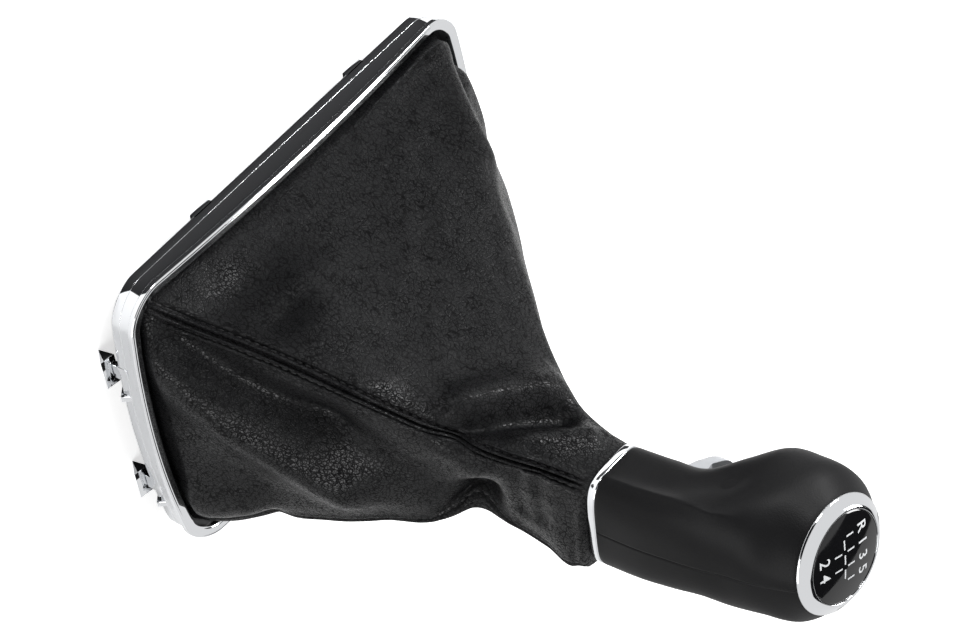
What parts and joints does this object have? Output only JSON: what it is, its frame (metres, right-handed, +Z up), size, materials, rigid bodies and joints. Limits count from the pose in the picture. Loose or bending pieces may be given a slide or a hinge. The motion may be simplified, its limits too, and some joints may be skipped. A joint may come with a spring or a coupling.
{
  "type": "gear shift knob with gaiter",
  "caption": "Car gear shift knob with chrome cap ring, reverse trigger, black leather gaiter and snap-in chrome bezel",
  "frame": {"origin": "centre of the lever socket's mouth on the lever's axis", "axes": "+Z up along the lever out of the console, +Y to the front of the car, +X to its right"},
  "size_m": [0.1198, 0.1832, 0.237],
  "materials": {
    "chrome": "bright plated plastic",
    "leather": "pebbled, semi matt",
    "thread": "sewing thread",
    "soft_grip": "fine grain, satin",
    "gloss_black": "polished",
    "silver_plastic": "satin silver",
    "black_plastic": "moulded",
    "steel": "plain"
  },
  "bodies": {
    "bezel": {"chrome_bezel": "chrome", "gaiter_frame": "black_plastic", "hem_staples": "steel"},
    "gaiter": {"gaiter_wrap_panel": "leather", "gaiter_rear_panel": "leather", "stitching_left": "thread", "stitching_right": "thread"},
    "knob": {"collar_sleeve": "black_plastic", "cable_tie": "black_plastic", "collar_ring": "chrome", "knob_shell_left": "soft_grip", "knob_shell_right": "soft_grip", "knob_core": "black_plastic", "retaining_clip": "steel", "cap_carrier": "black_plastic", "carrier_screws": "steel", "cap_ring": "chrome", "pattern_disc": "gloss_black", "return_spring": "steel"},
    "trigger": {"trigger": "silver_plastic", "trigger_slider": "black_plastic", "lock_rods": "steel"}
  },
  "joints": [
    {"name": "gate_select", "type": "hinge", "parent": "bezel", "child": "gaiter", "pos_m": [0, 0, -0.2], "axis": [0, 1, 0], "range_deg": [-9, 5], "deforming": ["gaiter_wrap_panel", "gaiter_rear_panel", "stitching_left", "stitching_right"]},
    {"name": "gear_shift", "type": "hinge", "parent": "gaiter", "child": "knob", "pos_m": [0, 0, -0.2], "axis": [1, 0, 0], "range_deg": [-11, 11]},
    {"name": "reverse_trigger", "type": "slide", "parent": "knob", "child": "trigger", "axis": [0, 0, 1], "range_m": [0, 0.005], "stiffness_N_per_m": 800, "springref_m": -0.001, "deforming": ["return_spring"]}
  ]
}
